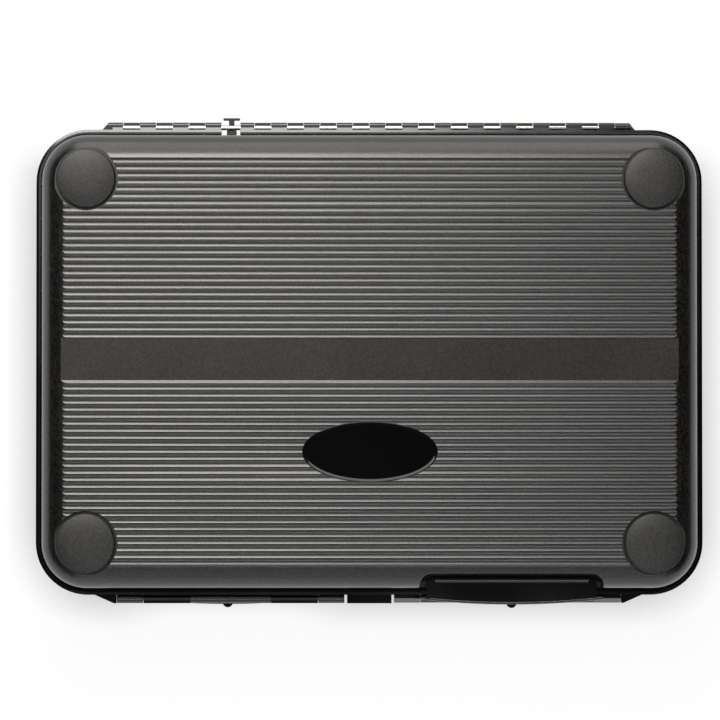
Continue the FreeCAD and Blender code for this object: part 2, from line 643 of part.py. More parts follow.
def build_lever(half, on_lid):
    """Latch lever: barrels on the pin, a bowed finger plate and a hook that bends into the notch."""
    body = new_body(f"{half}_latch_lever", on_lid)
    section = new_sketch(body, "barrel_section", "YZ_Plane", "latch_inner")
    axis, barrel = "-1 * latch_y", "latch_barrel_radius"
    outline(section, [
        (f"{axis} - {barrel}", "latch_z", barrel), (axis, f"latch_z - {barrel}", barrel),
        (f"{axis} + {barrel}", "latch_z", barrel), ("-1 * lever_y", "lever_root_z"),
        ("-1 * lever_y", "lever_bar_top"), ("-1 * lever_front_y", "lever_bar_top"),
    ])
    circle(section, axis, "latch_z", "bore_radius")
    extrude(body, "Pad", "barrel", section, "latch_length")
    gaps = new_sketch(body, "knuckle_gaps", "XY_Plane", "latch_swing_top")
    for start in ("latch_inner + latch_end_barrel", "latch_outer - latch_end_barrel - latch_knuckle"):
        rectangle(gaps, start, "-1 * latch_front_y - overrun", f"{start} + latch_knuckle", "overrun - rim_y")
    extrude(body, "Pocket", "knuckle_cuts", gaps, "latch_swing_top - latch_z + latch_barrel_radius + overrun")
    plate = new_sketch(body, "plate_plan", "XY_Plane", "latch_swing_top")
    outline(plate, [
        ("finger_center - finger_flare_half", "-1 * lever_front_y", "bow_radius"),
        ("finger_center + finger_flare_half", "-1 * lever_front_y"),
        ("finger_center + finger_half", "-1 * lever_y"), ("finger_center - finger_half", "-1 * lever_y"),
    ])
    extrude(body, "Pad", "finger_plate", plate, "hook_top - latch_swing_top")
    hook = new_sketch(body, "hook_plan", "XY_Plane", "hook_bottom")
    left, right = "finger_center - hook_length / 2", "finger_center + hook_length / 2"
    front, corner = "-1 * lever_y - overrun", "hook_corner_radius"
    outline(hook, [
        (left, front), (right, front), (right, f"-1 * hook_tip_y - {corner}", corner),
        (f"{right} - {corner}", "-1 * hook_tip_y"), (f"{left} + {corner}", "-1 * hook_tip_y", corner),
        (left, f"-1 * hook_tip_y - {corner}"),
    ])
    extrude(body, "Pad", "hook", hook, "hook_thickness")
    tooth = new_sketch(body, "tooth_plan", "XY_Plane", "hook_bottom - tooth_depth")
    rectangle(tooth, f"{left} + {corner}", "-1 * tooth_y", f"{right} - {corner}", "tooth_width - tooth_y")
    extrude(body, "Pad", "tooth", tooth, "tooth_depth + hook_thickness / 2")
    crown = new_sketch(body, "crown_section", "YZ_Plane", f"{left} + {corner}")
    back, core = "-1 * hook_tip_y", "hook_bottom + hook_thickness / 2"
    outline(crown, [
        (f"{back} - hook_crown_width", core), (back, core),
        (back, "hook_top", "crown_radius"), (f"{back} - hook_crown_width", "hook_top"),
    ])
    extrude(body, "Pad", "hook_crown", crown, f"hook_length - 2 * {corner}")
    nub = new_sketch(body, "nub_plan", "XY_Plane", "lever_bar_top")
    nub_left, nub_right = "finger_center - thumb_nub_width / 2", "finger_center + thumb_nub_width / 2"
    bow_front, inside = "-1 * lever_front_y - lever_bow", "overrun - lever_front_y - lever_bow"
    outline(nub, [
        (nub_left, bow_front, "nub_radius"), (nub_right, bow_front), (nub_right, inside), (nub_left, inside),
    ])
    extrude(body, "Pad", "thumb_nub", nub, "hook_bottom - lever_bar_top")
    round_edges(body, "finger_edge", "finger_edge_radius",
                lambda edge: level(edge, size("hook_top")) and is_arc(edge, size("bow_radius")))
    return body


def is_arc(edge, radius):
    """True where the edge is an arc of the given radius."""
    return isinstance(edge.Curve, Part.Circle) and abs(edge.Curve.Radius - radius) < 1e-4


def build_pin(name, on_lid, start, length, y, z):
    """Steel pin along X."""
    body = new_body(name, on_lid)
    section = new_sketch(body, "section", "YZ_Plane", start)
    circle(section, y, z, "pin_radius")
    extrude(body, "Pad", "rod", section, length)
    return body


def build_foot(name, on_lid, x, y):
    """Rubber foot: a disc with a rounded edge underneath, seated in its pocket."""
    body = new_body(name, on_lid)
    plan = new_sketch(body, "plan", "XY_Plane", "0")
    circle(plan, x, y, "foot_diameter / 2")
    extrude(body, "Pad", "disc", plan, "foot_proud + foot_pocket_depth")
    round_edges(body, "edge", "foot_edge_radius", lambda edge: level(edge, 0.0))
    return body


def build_gasket():
    """Rim gasket: a cord that lies on the floor of the base's groove and fills most of both grooves."""
    body = new_body("rim_gasket")
    ring = new_sketch(body, "ring", "XY_Plane", "half_height - groove_depth")
    rounded_from_rim(ring, "gasket_inset - gasket_diameter / 2")
    rounded_from_rim(ring, "gasket_inset + gasket_diameter / 2")
    extrude(body, "Pad", "cord", ring, "gasket_diameter")
    round_edges(body, "cord_edges", "gasket_diameter / 2 - seat_clearance",
                lambda edge: edge.BoundBox.ZLength < 1e-4)
    return body


def build_badge():
    """Oval badge plate on the lid, bare, seated in its recess."""
    body = new_body("badge_plate", on_lid=True)
    plan = new_sketch(body, "plan", "XY_Plane", "foot_proud - badge_proud")
    ellipse(plan, "badge_length / 2", "badge_width / 2")
    extrude(body, "Pad", "plate", plan, "badge_proud + badge_recess")
    face = size("foot_proud - badge_proud")
    round_edges(body, "edge", "badge_edge_radius", lambda edge: level(edge, face))
    return body


def build_insert(half, on_lid):
    """Insert panel on the cover's floor, with a shallow seat for each foam row."""
    body = new_body(f"{half}_insert", on_lid)
    plan = new_sketch(body, "plan", "XY_Plane", "floor_z")
    rounded(plan, "insert_x", "insert_y", "insert_corner_radius")
    extrude(body, "Pad", "panel", plan, "insert_thickness")
    seat = new_sketch(body, "seat", "XY_Plane", "insert_top")
    half_x, half_y = "foam_half + foam_fit", "foam_width / 2 + foam_fit"
    rectangle(seat, f"-1 * ({half_x})", f"foam_first - ({half_y})", half_x, f"foam_first + {half_y}")
    first = extrude(body, "Pocket", "foam_seat", seat, "foam_seat")
    pattern(body, "foam_seats", first, "Y_Axis", "foam_rows", "foam_pitch")
    return body


def build_foam(half, on_lid, number):
    """One foam row: a bar with a crowned top, in its seat on the insert panel."""
    body = new_body(f"{half}_foam_{number + 1}", on_lid)
    section = new_sketch(body, "section", "YZ_Plane", "-1 * foam_half")
    middle = f"foam_first + {number} * foam_pitch"
    left, right = f"{middle} - foam_width / 2", f"{middle} + foam_width / 2"
    outline(section, [
        (left, "foam_bottom"), (right, "foam_bottom"),
        (right, "foam_side_top", "foam_crown_radius"), (left, "foam_side_top"),
    ])
    extrude(body, "Pad", "row", section, "2 * foam_half")
    return body


def build_half(half, on_lid):
    """All the pieces that a half carries."""
    pieces = [build_cover(half, on_lid), build_rim(half, on_lid), build_lever(half, on_lid)]
    pieces.append(build_pin(f"{half}_latch_pin", on_lid, "latch_inner + pin_end_gap",
                            "latch_length - 2 * pin_end_gap", "-1 * latch_y", "latch_z"))
    corners = [(x, y) for y in ("-1 * foot_y", "foot_y") for x in ("-1 * foot_x", "foot_x")]
    for number, (x, y) in enumerate(corners, start=1):
        pieces.append(build_foot(f"{half}_foot_{number}", on_lid, x, y))
    pieces.append(build_insert(half, on_lid))
    for number in range(int(DRIVING["foam_rows"])):
        pieces.append(build_foam(half, on_lid, number))
    return pieces


def build_all():
    """Both halves and the pieces between them."""
    pieces = build_half("base", False) + build_half("lid", True)
    pieces.append(build_pin("hinge_pin", False, "pin_end_gap - hinge_end", "2 * (hinge_end - pin_end_gap)",
                            "hinge_y", "half_height"))
    pieces += [build_lug(), build_gasket(), build_badge()]
    return pieces


def check_and_write(pieces):
    """Stop on any failed feature or bad solid, then write one STEP file per piece."""
    doc.recompute()
    for item in doc.Objects:
        if "Invalid" in item.State or "Error" in item.State:
            raise RuntimeError(f"{item.Name} failed: {item.State}")
    for piece in pieces:
        if piece.Shape.isNull() or not piece.Shape.isValid() or len(piece.Shape.Solids) != 1:
            raise RuntimeError(f"{piece.Label} is not one valid solid")
    os.makedirs("parts", exist_ok=True)
    for piece in pieces:
        piece.Shape.exportStep(f"parts/{piece.Label}.step")
        box = piece.Shape.BoundBox
        lengths = " x ".join(f"{side:.2f}" for side in (box.XLength, box.YLength, box.ZLength))
        print(f"{piece.Label}: {piece.Shape.Volume:.1f} mm3, {lengths}")


check_and_write(build_all())
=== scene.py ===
"""Looks of a large two-sided fly box: finishes, modelled pieces, studio light and camera.

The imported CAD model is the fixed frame. Every size is in millimetres and is turned to metres by MM.
"""

from __future__ import annotations

import logging
import math
from collections.abc import Iterator
from dataclasses import dataclass, field
from enum import Enum
from typing import Any

import bmesh
import bpy
from mathutils import Matrix, Vector


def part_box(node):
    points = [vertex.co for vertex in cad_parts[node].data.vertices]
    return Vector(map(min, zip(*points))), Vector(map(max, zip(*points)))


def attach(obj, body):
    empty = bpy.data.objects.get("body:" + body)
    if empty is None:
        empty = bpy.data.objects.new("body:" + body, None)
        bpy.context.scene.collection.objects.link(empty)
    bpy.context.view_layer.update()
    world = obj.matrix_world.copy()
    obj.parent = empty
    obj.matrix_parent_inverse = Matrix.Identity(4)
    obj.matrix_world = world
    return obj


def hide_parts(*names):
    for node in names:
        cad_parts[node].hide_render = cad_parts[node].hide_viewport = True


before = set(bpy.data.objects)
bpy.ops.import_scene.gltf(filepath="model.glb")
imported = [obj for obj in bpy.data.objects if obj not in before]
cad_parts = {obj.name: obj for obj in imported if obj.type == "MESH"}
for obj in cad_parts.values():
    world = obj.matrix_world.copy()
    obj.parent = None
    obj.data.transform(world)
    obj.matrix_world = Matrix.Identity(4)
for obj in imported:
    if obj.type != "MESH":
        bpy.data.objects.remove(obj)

LOG = logging.getLogger("fly_box")
MM = 0.001
MERGE_DISTANCE = 0.0005 * MM
FLAT_ANGLE = math.radians(0.4)
SHARP_ANGLE = math.radians(32)
ROUND_PROFILE = 0.5
# Sockets of a Mix node that mixes colours. Their names aren't unique.
MIX_SHARE, MIX_FIRST, MIX_SECOND, MIX_RESULT = 0, 6, 7, 2


class Half(Enum):
    """The two half shells. The value is the prefix of their nodes and the name of their body."""

    BASE = "base"
    LID = "lid"

    @property
    def faces_up(self) -> bool:
        """Whether the outer face of this half points up when the case is shut."""
        return self is Half.LID


class Axis(Enum):
    """Axis that a turned piece is spun about."""

    ALONG = Vector((1, 0, 0))
    UP = Vector((0, 0, 1))


def linear(hex_colour: str) -> tuple[float, float, float, float]:
    """Turns an sRGB hex colour to linear.

    Args:
        hex_colour: Six hex digits with a leading hash.

    Returns:
        Linear red, green and blue with full alpha.
    """
    channels = [int(hex_colour[i:i + 2], 16) / 255 for i in (1, 3, 5)]
    red, green, blue = [c / 12.92 if c <= 0.04045 else ((c + 0.055) / 1.055) ** 2.4 for c in channels]
    return red, green, blue, 1.0


def add_node(tree: bpy.types.NodeTree, kind: str, inputs: dict[Any, Any] | None = None,
             **settings: Any) -> bpy.types.Node:
    """Adds one shader node with its settings, values and links.

    Args:
        tree: Node tree that gets the node.
        kind: Blender's name of the node type.
        inputs: Input name or index to a value, or to the output socket that feeds it.
        settings: Attributes of the node itself.

    Returns:
        The new node.
    """
    node = tree.nodes.new(kind)
    for name, value in settings.items():
        setattr(node, name, value)
    for key, value in (inputs or {}).items():
        if isinstance(value, bpy.types.NodeSocket):
            tree.links.new(value, node.inputs[key])
        else:
            node.inputs[key].default_value = value
    return node


def fresh_tree(owner: bpy.types.Material | bpy.types.World) -> bpy.types.NodeTree:
    """Gives a material or a world an empty node tree.

    Args:
        owner: The material or the world.

    Returns:
        Its node tree.
    """
    owner.use_nodes = True
    owner.node_tree.nodes.clear()
    return owner.node_tree


def per_metre(size_mm: float) -> float:
    """Texture scale whose features are about size_mm across."""
    return 1 / (size_mm * MM)


@dataclass(frozen=True)
class Finish:
    """A surface: its colour, gloss and the marks that its making left.

    The base class makes the shader and a slow drift of tone and gloss, as handling and mould flow
    leave on every surface. Subclasses add the relief that is their own.
    """

    name: str
    slot: str
    colour: str
    worn_colour: str
    roughness: float
    roughness_spread: float = 0.06
    ior: float = 1.5
    metallic: float = 0.0
    coat: float = 0.0
    drift_mm: float = 35.0
    drift_detail: float = 4.0
    drift_span: tuple[float, float] = (0.3, 0.7)

    def material(self) -> bpy.types.Material:
        """Makes the material, or gives the one made before.

        Returns:
            The material of this finish.
        """
        known = bpy.data.materials.get(self.name)
        if known:
            return known
        made = bpy.data.materials.new(self.name)
        tree = fresh_tree(made)
        place = add_node(tree, "ShaderNodeTexCoord").outputs["Object"]
        drift = add_node(tree, "ShaderNodeTexNoise",
                         {"Vector": place, "Scale": per_metre(self.drift_mm), "Detail": self.drift_detail})
        tone = add_node(tree, "ShaderNodeMix",
                        {MIX_SHARE: drift.outputs["Fac"], MIX_FIRST: linear(self.colour),
                         MIX_SECOND: linear(self.worn_colour)}, data_type="RGBA")
        low, high = self.drift_span
        gloss = add_node(tree, "ShaderNodeMapRange",
                         {"Value": drift.outputs["Fac"], "From Min": low, "From Max": high,
                          "To Min": self.roughness - self.roughness_spread,
                          "To Max": self.roughness + self.roughness_spread})
        shader = add_node(tree, "ShaderNodeBsdfPrincipled",
                          {"Base Color": tone.outputs[MIX_RESULT], "Roughness": gloss.outputs["Result"],
                           "Metallic": self.metallic, "Coat Weight": self.coat})
        if not self.metallic:
            shader.inputs["IOR"].default_value = self.ior
        self.relief(tree, shader, place)
        add_node(tree, "ShaderNodeOutputMaterial", {"Surface": shader.outputs["BSDF"]})
        return made

    def relief(self, tree: bpy.types.NodeTree, shader: bpy.types.Node, place: bpy.types.NodeSocket) -> None:
        """Adds nothing: a plain surface has no relief."""


@dataclass(frozen=True)
class MouldedPlastic(Finish):
    """Injection-moulded plastic with the fine grain of an eroded mould."""

    grain_mm: float = 0.9
    grain_depth_mm: float = 0.02
    grain_detail: float = 3.0
    grain_roughness: float = 0.6
    painted_grain_shading: float = 0.0
    painted_grain_shading_span: tuple[float, float] = (0.42, 0.58)

    def relief(self, tree: bpy.types.NodeTree, shader: bpy.types.Node, place: bpy.types.NodeSocket) -> None:
        """Adds the mould's grain as bump, and paints its light and shade into the colour: pits darker, peaks
        lighter.

        Args:
            tree: Node tree of the material.
            shader: Its shader node.
            place: Socket with the object's coordinates.
        """
        grain = add_node(tree, "ShaderNodeTexNoise",
                         {"Vector": place, "Scale": per_metre(self.grain_mm), "Detail": self.grain_detail,
                          "Roughness": self.grain_roughness})
        bump = add_node(tree, "ShaderNodeBump",
                        {"Height": grain.outputs["Fac"], "Distance": self.grain_depth_mm * MM,
                         "Strength": 1.0})
        tree.links.new(bump.outputs["Normal"], shader.inputs["Normal"])
        # Painted light and shade of the grain: the colour is darker in its pits and lighter on its peaks.
        if self.painted_grain_shading:
            low, high = self.painted_grain_shading_span
            shade = add_node(tree, "ShaderNodeMapRange",
                             {"Value": grain.outputs["Fac"], "From Min": low, "From Max": high,
                              "To Min": 1 - self.painted_grain_shading, "To Max": 1 + self.painted_grain_shading})
            colour = shader.inputs["Base Color"].links[0].from_socket
            grain_shaded_colour = add_node(tree, "ShaderNodeMix",
                                {MIX_SHARE: 1.0, MIX_FIRST: colour, MIX_SECOND: shade.outputs["Result"]},
                                data_type="RGBA", blend_type="MULTIPLY")
            tree.links.new(grain_shaded_colour.outputs[MIX_RESULT], shader.inputs["Base Color"])


@dataclass(frozen=True)
class DrawnMetal(Finish):
    """Wire that was drawn through a die, with long fine score marks along it."""

    score_mm: float = 0.25
    score_length_mm: float = 14.0
    score_depth_mm: float = 0.0003
    score_detail: float = 2.0

    def relief(self, tree: bpy.types.NodeTree, shader: bpy.types.Node, place: bpy.types.NodeSocket) -> None:
        """Adds score marks that run along the wire.

        Args:
            tree: Node tree of the material.
            shader: Its shader node.
            place: Socket with the object's coordinates.
        """
        across = per_metre(self.score_mm)
        along = per_metre(self.score_length_mm)
        stretched = add_node(tree, "ShaderNodeMapping", {"Vector": place, "Scale": (along, across, across)})
        scores = add_node(tree, "ShaderNodeTexNoise",
                          {"Vector": stretched.outputs["Vector"], "Scale": 1.0, "Detail": self.score_detail})
        bump = add_node(tree, "ShaderNodeBump",
                        {"Height": scores.outputs["Fac"], "Distance": self.score_depth_mm * MM})
        tree.links.new(bump.outputs["Normal"], shader.inputs["Normal"])


@dataclass(frozen=True)
class ClosedCellFoam(Finish):
    """Expanded foam cut with a hot wire, so that its closed cells show as tiny dimples."""

    cell_mm: float = 0.8
    cell_depth_mm: float = 0.12

    def relief(self, tree: bpy.types.NodeTree, shader: bpy.types.Node, place: bpy.types.NodeSocket) -> None:
        """Adds the cut cells as bump.

        Args:
            tree: Node tree of the material.
            shader: Its shader node.
            place: Socket with the object's coordinates.
        """
        cells = add_node(tree, "ShaderNodeTexVoronoi", {"Vector": place, "Scale": per_metre(self.cell_mm)})
        bump = add_node(tree, "ShaderNodeBump",
                        {"Height": cells.outputs["Distance"], "Distance": self.cell_depth_mm * MM})
        tree.links.new(bump.outputs["Normal"], shader.inputs["Normal"])


# Satin ABS from an eroded mould: nearly black in itself, greyed by broad soft highlights. The grain is
# about 0.2 mm across, which is too fine to show, so it is drawn at 0.8 mm.
# Its colour carries painted light and shade of the grain: darker in the pits, lighter on the peaks.
CHARCOAL_ABS = MouldedPlastic("charcoal_abs", "cover_charcoal", "#141312", "#181716", 0.3, 0.02, ior=1.6,
                              grain_mm=0.8, grain_depth_mm=0.02, painted_grain_shading=1.0)
# Black ABS from a polished mould: near black, with clear narrow highlights along its edges.
BLACK_ABS = MouldedPlastic("polished_black_abs", "rim_black", "#080809", "#0c0c0d", 0.18, 0.03, ior=1.52,
                           grain_mm=2.5, grain_depth_mm=0.004)
# Acetal: tough and slippery, as glossy as the rim that it snaps onto.
BLACK_ACETAL = MouldedPlastic("black_acetal", "lever_black", "#080809", "#0c0c0d", 0.18, 0.03, ior=1.6,
                              grain_mm=1.4, grain_depth_mm=0.006)
# The same acetal on the small lug, a little duller.
LUG_ACETAL = MouldedPlastic("lug_acetal", "lug_black", "#0a0a0b", "#0f0f10", 0.22, 0.03, ior=1.48,
                            grain_mm=1.4, grain_depth_mm=0.006)
# Moulded EPDM rubber: dull dark grey that scatters light and shows no clear highlight.
# Its colour carries painted light and shade of the grain: darker in the pits, lighter on the peaks.
FOOT_RUBBER = MouldedPlastic("moulded_epdm_rubber", "foot_rubber", "#1a1a19", "#1e1e1d", 0.48, 0.03, ior=1.5,
                             grain_mm=0.9, grain_depth_mm=0.02, painted_grain_shading=0.6)
# Extruded silicone cord: smooth, soft sheen, dark blue grey.
SILICONE = MouldedPlastic("silicone_cord", "gasket_rubber", "#2a2d31", "#33363b", 0.45, ior=1.42,
                          grain_mm=1.2, grain_depth_mm=0.01)
# Drawn stainless wire: as bright as a mirror, with faint score marks along it.
STAINLESS = DrawnMetal("drawn_stainless", "pin_steel", "#c9c8c4", "#b4b3af", 0.08, metallic=1.0,
                       roughness_spread=0.02, drift_mm=12.0)
# Blackened steel wire: the same wire under a dark oxide, which is a little duller.
BLACKENED_STEEL = DrawnMetal("blackened_steel", "pin_steel", "#333335", "#2b2b2d", 0.14, metallic=1.0,
                             roughness_spread=0.03, drift_mm=12.0)
# Lacquered plate: deep black under a clear coat, as smooth as glass.
BLACK_LACQUER = MouldedPlastic("black_lacquer", "badge_black", "#040405", "#070708", 0.1, 0.02, ior=1.52,
                               coat=0.6, grain_mm=4.0, grain_depth_mm=0.003)
# Thermoformed grey ABS sheet: even, half matt.
GREY_ABS = MouldedPlastic("grey_abs_sheet", "insert_grey", "#7d8083", "#878a8d", 0.45, ior=1.53,
                          grain_mm=0.9, grain_depth_mm=0.015)
# Closed-cell polyethylene foam: pale, quite matt, pitted by its cells.
PALE_FOAM = ClosedCellFoam("closed_cell_foam", "foam", "#d9d6cc", "#e3e0d7", 0.85, 0.05, ior=1.45)


def shade_by_angle(bm: bmesh.types.BMesh) -> None:
    """Shades a mesh smooth, with its sharp corners kept sharp.

    Args:
        bm: The mesh.
    """
    for face in bm.faces:
        face.smooth = True
    for edge in bm.edges:
        edge.smooth = len(edge.link_faces) == 2 and edge.calc_face_angle() < SHARP_ANGLE


def placed(name: str, bm: bmesh.types.BMesh) -> bpy.types.Object:
    """Turns a bmesh into an object of the scene.

    Args:
        name: Name of the object and of its mesh.
        bm: The mesh, in metres and in place. It is freed.

    Returns:
        The new object.
    """
    mesh = bpy.data.meshes.new(name)
    bm.to_mesh(mesh)
    bm.free()
    made = bpy.data.objects.new(name, mesh)
    bpy.context.scene.collection.objects.link(made)
    return made


def settle(name: str, bm: bmesh.types.BMesh, finish: Finish, body: str, *nodes: str) -> bpy.types.Object:
    """Turns a finished bmesh into a piece that rides on a body and stands for CAD nodes.

    Args:
        name: Name of the piece.
        bm: The mesh, in metres and in place. It is freed.
        finish: Finish of the whole piece.
        body: Name of the body that carries the piece.
        nodes: Names of the nodes that the piece stands for, if any.

    Returns:
        The new object.
    """
    shade_by_angle(bm)
    piece = placed(name, bm)
    piece.data.materials.append(finish.material())
    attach(piece, body)
    if nodes:
        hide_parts(*nodes)
    LOG.info("piece %s: %d faces on body %s", name, len(piece.data.polygons), body)
    return piece


def softened(node: str, edge_mm: float, finish: Finish, body: str, edge_steps: int = 2) -> None:
    """Makes a moulding from a CAD node's shape, with its sharp edges rounded as a mould rounds them.

    Args:
        node: Name of the CAD node, which the new piece stands for.
        edge_mm: Width of the rounded edges.
        finish: Finish of the piece.
        body: Name of the body that carries it.
        edge_steps: Number of facets across a rounded edge.
    """
    bm = bmesh.new()
    bm.from_mesh(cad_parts[node].data)
    bmesh.ops.remove_doubles(bm, verts=bm.verts, dist=MERGE_DISTANCE)
    bmesh.ops.dissolve_limit(bm, angle_limit=FLAT_ANGLE, verts=bm.verts, edges=bm.edges)
    piece = settle(f"{node}_moulding", bm, finish, body, node)
    rounding = piece.modifiers.new("rounded_edges", "BEVEL")
    rounding.width = edge_mm * MM
    rounding.segments = edge_steps
    rounding.limit_method = "ANGLE"
    rounding.angle_limit = SHARP_ANGLE
    rounding.harden_normals = True
    rounding.use_clamp_overlap = False


def dress_node(node: str, finish: Finish) -> None:
    """Gives a CAD node that keeps its shape a new finish.

    Args:
        node: Name of the CAD node.
        finish: Its finish.
    """
    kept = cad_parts[node]
    kept.data.materials.clear()
    kept.data.materials.append(finish.material())
    LOG.info("node %s: %s", node, finish.name)


def spun(profile: list[tuple[float, float]], axis: Axis, steps: int) -> bmesh.types.BMesh:
    """Turns a half section about an axis through the origin.

    Args:
        profile: Points as radius and place along the axis, in metres. The ends lie on the axis.
        axis: Axis to turn about.
        steps: Number of facets round the axis.

    Returns:
        The closed mesh.
    """
    bm = bmesh.new()
    across = Vector((0, 1, 0))
    points = [bm.verts.new(across * radius + axis.value * along) for radius, along in profile]
    lines = [bm.edges.new(pair) for pair in zip(points, points[1:])]
    bmesh.ops.spin(bm, geom=points + lines, cent=(0, 0, 0), axis=axis.value, angle=math.tau,
                   steps=steps, use_merge=True)
    bmesh.ops.remove_doubles(bm, verts=bm.verts, dist=MERGE_DISTANCE)
    bmesh.ops.recalc_face_normals(bm, faces=bm.faces)
    return bm


def middle(node: str) -> tuple[Vector, Vector]:
    """Centre and full size of a CAD node's box.

    Args:
        node: Name of the CAD node.

    Returns:
        The centre and the size, in metres.
    """
    low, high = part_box(node)
    return (low + high) / 2, high - low


@dataclass
class HalfShell:
    """One half of the case: the fluted cover, the rim it is welded to, and four feet."""

    half: Half
    feet: int = 4
    foot_edge_mm: float = 0.7
    foot_crown_mm: float = 0.7
    foot_edge_steps: int = 4
    foot_steps: int = 72

    def build(self) -> None:
        """Dresses the cover and the rim, and makes the feet."""
        side = self.half.value
        dress_node(f"{side}_cover", CHARCOAL_ABS)
        dress_node(f"{side}_rim", BLACK_ABS)
        for number in range(1, self.feet + 1):
            self.build_foot(f"{side}_foot_{number}")

    def build_foot(self, node: str) -> None:
        """Makes one crowned rubber foot in its pocket.

        Args:
            node: Name of the foot's CAD node.
        """
        centre, size = middle(node)
        radius, height = size.x / 2, size.z
        crown, edge = self.foot_crown_mm * MM, self.foot_edge_mm * MM
        half_way = (radius / 2, height - crown / 4)
        profile = [(0, 0), (radius, 0), (radius, height - crown), half_way, (0, height)]
        bm = spun(profile, Axis.UP, self.foot_steps)
        brim = [e for e in bm.edges if all(abs(v.co.z - (height - crown)) < MERGE_DISTANCE for v in e.verts)]
        bmesh.ops.bevel(bm, geom=brim, offset=edge, affect="EDGES", segments=self.foot_edge_steps,
                        profile=ROUND_PROFILE, material=-1)
        bmesh.ops.translate(bm, vec=(0, 0, -height / 2), verts=bm.verts)
        if not self.half.faces_up:
            bmesh.ops.rotate(bm, matrix=Matrix.Rotation(math.pi, 3, "X"), verts=bm.verts)
        bmesh.ops.translate(bm, vec=centre, verts=bm.verts)
        settle(f"{node}_pad", bm, FOOT_RUBBER, self.half.value, node)


@dataclass
class NotchLedge:
    """The ledge inside one half that joins the wall behind the finger notch to the rim."""

    half: Half
    notch_mm: float = 56.9
    length_mm: float = 78.2
    corner_mm: float = 7.2
    rim_face_mm: float = 86.0
    wall_face_mm: float = 82.8
    seat_mm: float = 22.5
    thickness_mm: float = 1.0
    case_height_mm: float = 60.0
    corner_steps: int = 8

    def build(self) -> None:
        """Makes the ledge on top of the notch's wall, with round ends like those of the wall."""
        side = self.half.value
        straight = self.length_mm / 2 - self.corner_mm
        depth = self.rim_face_mm - self.wall_face_mm
        bm = bmesh.new()
        start = bm.verts.new((straight, -self.wall_face_mm, self.seat_mm))
        bmesh.ops.spin(bm, geom=[start], cent=(straight, -self.wall_face_mm - self.corner_mm, self.seat_mm),
                       axis=(0, 0, -1), angle=math.acos(1 - depth / self.corner_mm), steps=self.corner_steps)
        bmesh.ops.mirror(bm, geom=bm.verts[:] + bm.edges[:], axis="X")
        plan = bmesh.ops.bridge_loops(bm, edges=bm.edges[:])["faces"]
        raised = bmesh.ops.extrude_face_region(bm, geom=plan)["geom"]
        bmesh.ops.translate(bm, vec=(0, 0, self.thickness_mm),
                            verts=[g for g in raised if isinstance(g, bmesh.types.BMVert)])
        bmesh.ops.translate(bm, vec=(-self.notch_mm, 0, 0), verts=bm.verts)
        if self.half.faces_up:
            bmesh.ops.rotate(bm, cent=(0, 0, self.case_height_mm / 2),
                             matrix=Matrix.Rotation(math.pi, 3, "Y"), verts=bm.verts)
        bmesh.ops.scale(bm, vec=(MM, MM, MM), verts=bm.verts)
        bmesh.ops.recalc_face_normals(bm, faces=bm.faces)
        settle(f"{side}_notch_ledge", bm, CHARCOAL_ABS, side)


@dataclass
class FoamInsert:
    """The grey panel in one half and the slit foam rows on it that hold the flies."""

    half: Half
    rows: int = 9
    panel_edge_mm: float = 0.3
    crown_mm: float = 3.0
    crown_steps: int = 4
    slit_pitch_mm: float = 6.0
    slit_half_width_mm: float = 0.35
    slit_depth_mm: float = 3.5
    fill: float = 0.9

    def build(self) -> None:
        """Makes the panel and every row of foam."""
        side = self.half.value
        softened(f"{side}_insert", self.panel_edge_mm, GREY_ABS, side)
        for number in range(1, self.rows + 1):
            self.build_row(f"{side}_foam_{number}")

    def slit_places(self, length: float) -> Iterator[float]:
        """Gives the places of the slits along a row.

        Args:
            length: Length of the row.

        Yields:
            Distance of each slit from the middle of the row.
        """
        pitch = self.slit_pitch_mm * MM
        count = int(length / pitch) - 1
        for index in range(count):
            yield (index - (count - 1) / 2) * pitch

    def build_row(self, node: str) -> None:
        """Makes one foam row with a crowned top and cross slits.

        Args:
            node: Name of the row's CAD node.
        """
        centre, size = middle(node)
        bm = bmesh.new()
        bmesh.ops.create_cube(bm, size=1)
        bmesh.ops.scale(bm, vec=size, verts=bm.verts)
        upper = [e for e in bm.edges if all(v.co.z > 0 for v in e.verts)]
        shoulders = [e for e in upper if abs(e.verts[0].co.x - e.verts[1].co.x) > MM]
        bmesh.ops.bevel(bm, geom=shoulders, offset=self.crown_mm * MM, affect="EDGES",
                        segments=self.crown_steps, profile=ROUND_PROFILE, material=-1)
        half_width = self.slit_half_width_mm * MM
        for place in self.slit_places(size.x):
            for x in (place - half_width, place, place + half_width):
                bmesh.ops.bisect_plane(bm, geom=bm.verts[:] + bm.edges[:] + bm.faces[:], dist=MERGE_DISTANCE,
                                       plane_co=(x, 0, 0), plane_no=(1, 0, 0))
            cut = [v for v in bm.verts if abs(v.co.x - place) < half_width / 2 and v.co.z > 0]
            bmesh.ops.translate(bm, vec=(0, 0, -self.slit_depth_mm * MM), verts=cut)
        if self.half.faces_up:
            bmesh.ops.rotate(bm, matrix=Matrix.Rotation(math.pi, 3, "X"), verts=bm.verts)
        bmesh.ops.translate(bm, vec=centre, verts=bm.verts)
        row = settle(f"{node}_strip", bm, PALE_FOAM, self.half.value, node)


